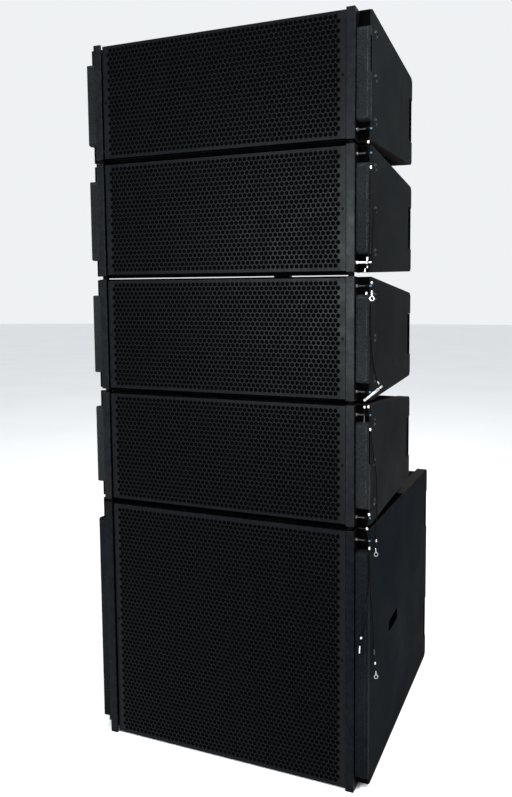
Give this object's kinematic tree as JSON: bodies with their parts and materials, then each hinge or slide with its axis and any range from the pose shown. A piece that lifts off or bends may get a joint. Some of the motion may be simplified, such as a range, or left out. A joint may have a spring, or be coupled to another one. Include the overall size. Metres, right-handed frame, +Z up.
{
  "type": "line array speaker",
  "caption": "Compact wedge-shaped line array cabinets stacked on a subwoofer, joined by pinned front links and rear link bars that set the splay.",
  "frame": {"origin": "centre of the footprint on the floor", "axes": "+X to the viewer's right seen from the front, +Y to the back of the cabinets, +Z up"},
  "size_m": [0.514, 0.408, 1.2089],
  "materials": {
    "cabinet_paint": "plywood under textured near-black paint",
    "grille_paint": "black powder coat",
    "rail_paint": "satin blue-grey black",
    "small_driver": "black paper cone in a painted cast basket",
    "large_driver": "black pulp cone, lightened to a real driver's weight",
    "horn_plastic": "moulded black",
    "panel_paint": "black powder coat",
    "blackened_steel": "blackened steel",
    "pin_steel": "bright turned steel",
    "foot_rubber": "moulded rubber"
  },
  "bodies": {
    "base": {"sub_cabinet": "cabinet_paint", "sub_grille": "grille_paint", "sub_rail_left": "rail_paint", "sub_rail_right": "rail_paint", "sub_woofer": "large_driver", "sub_rear_panel": "panel_paint", "sub_foot_left": "foot_rubber", "sub_foot_right": "foot_rubber", "front_link_left_1": "blackened_steel", "front_link_right_1": "blackened_steel"},
    "level_1": {"top_1_cabinet": "cabinet_paint", "top_1_grille": "grille_paint", "top_1_rail_left": "rail_paint", "top_1_rail_right": "rail_paint", "top_1_woofer_left": "small_driver", "top_1_woofer_right": "small_driver", "top_1_horn": "horn_plastic", "top_1_rear_panel": "panel_paint", "front_link_left_2": "blackened_steel", "front_link_right_2": "blackened_steel"},
    "level_2": {"top_2_cabinet": "cabinet_paint", "top_2_grille": "grille_paint", "top_2_rail_left": "rail_paint", "top_2_rail_right": "rail_paint", "top_2_woofer_left": "small_driver", "top_2_woofer_right": "small_driver", "top_2_horn": "horn_plastic", "top_2_rear_panel": "panel_paint", "front_link_left_3": "blackened_steel", "front_link_right_3": "blackened_steel"},
    "level_3": {"top_3_cabinet": "cabinet_paint", "top_3_grille": "grille_paint", "top_3_rail_left": "rail_paint", "top_3_rail_right": "rail_paint", "top_3_woofer_left": "small_driver", "top_3_woofer_right": "small_driver", "top_3_horn": "horn_plastic", "top_3_rear_panel": "panel_paint", "front_link_left_4": "blackened_steel", "front_link_right_4": "blackened_steel"},
    "level_4": {"top_4_cabinet": "cabinet_paint", "top_4_grille": "grille_paint", "top_4_rail_left": "rail_paint", "top_4_rail_right": "rail_paint", "top_4_woofer_left": "small_driver", "top_4_woofer_right": "small_driver", "top_4_horn": "horn_plastic", "top_4_rear_panel": "panel_paint"},
    "pin_left_1": {"front_pin_left_1": "pin_steel"},
    "pin_right_1": {"front_pin_right_1": "pin_steel"},
    "rear_bar_1": {"rear_link_1": "blackened_steel"},
    "pin_left_2": {"front_pin_left_2": "pin_steel"},
    "pin_right_2": {"front_pin_right_2": "pin_steel"},
    "rear_bar_2": {"rear_link_2": "blackened_steel"},
    "pin_left_3": {"front_pin_left_3": "pin_steel"},
    "pin_right_3": {"front_pin_right_3": "pin_steel"},
    "rear_bar_3": {"rear_link_3": "blackened_steel"},
    "pin_left_4": {"front_pin_left_4": "pin_steel"},
    "pin_right_4": {"front_pin_right_4": "pin_steel"},
    "rear_bar_4": {"rear_link_4": "blackened_steel"}
  },
  "joints": [
    {"name": "splay_1", "type": "hinge", "parent": "base", "child": "level_1", "pos_m": [0, -0.1963, 0.4472], "axis": [-1, 0, 0], "range_deg": [0, 3.5]},
    {"name": "splay_2", "type": "hinge", "parent": "level_1", "child": "level_2", "pos_m": [0, -0.1963, 0.6428], "axis": [-1, 0, 0], "range_deg": [0, 7]},
    {"name": "splay_3", "type": "hinge", "parent": "level_2", "child": "level_3", "pos_m": [0, -0.1963, 0.8384], "axis": [-1, 0, 0], "range_deg": [0, 7]},
    {"name": "splay_4", "type": "hinge", "parent": "level_3", "child": "level_4", "pos_m": [0, -0.1963, 1.034], "axis": [-1, 0, 0], "range_deg": [0, 7]},
    {"name": "pin_left_1_pull", "type": "slide", "parent": "level_1", "child": "pin_left_1", "axis": [-1, 0, 0], "range_m": [0, 0.03]},
    {"name": "pin_right_1_pull", "type": "slide", "parent": "level_1", "child": "pin_right_1", "axis": [1, 0, 0], "range_m": [0, 0.03]},
    {"name": "pin_left_2_pull", "type": "slide", "parent": "level_2", "child": "pin_left_2", "axis": [-1, 0, 0], "range_m": [0, 0.03]},
    {"name": "pin_right_2_pull", "type": "slide", "parent": "level_2", "child": "pin_right_2", "axis": [1, 0, 0], "range_m": [0, 0.03]},
    {"name": "pin_left_3_pull", "type": "slide", "parent": "level_3", "child": "pin_left_3", "axis": [-1, 0, 0], "range_m": [0, 0.03]},
    {"name": "pin_right_3_pull", "type": "slide", "parent": "level_3", "child": "pin_right_3", "axis": [1, 0, 0], "range_m": [0, 0.03]},
    {"name": "pin_left_4_pull", "type": "slide", "parent": "level_4", "child": "pin_left_4", "axis": [-1, 0, 0], "range_m": [0, 0.03]},
    {"name": "pin_right_4_pull", "type": "slide", "parent": "level_4", "child": "pin_right_4", "axis": [1, 0, 0], "range_m": [0, 0.03]},
    {"name": "rear_link_1_drop", "type": "slide", "parent": "base", "child": "rear_bar_1", "axis": [0, 0, -1], "range_m": [0, 0.0145]},
    {"name": "rear_link_2_drop", "type": "slide", "parent": "level_1", "child": "rear_bar_2", "axis": [0, 0, -1], "range_m": [0, 0.028]},
    {"name": "rear_link_3_drop", "type": "slide", "parent": "level_2", "child": "rear_bar_3", "axis": [0, 0, -1], "range_m": [0, 0.028]},
    {"name": "rear_link_4_drop", "type": "slide", "parent": "level_3", "child": "rear_bar_4", "axis": [0, 0, -1], "range_m": [0, 0.028]}
  ],
  "couplings": [
    {"joint": "rear_link_1_drop", "follows": "splay_1", "m_per_rad": 0.2255},
    {"joint": "rear_link_2_drop", "follows": "splay_2", "m_per_rad": 0.2255},
    {"joint": "rear_link_3_drop", "follows": "splay_3", "m_per_rad": 0.2255},
    {"joint": "rear_link_4_drop", "follows": "splay_4", "m_per_rad": 0.2255}
  ]
}
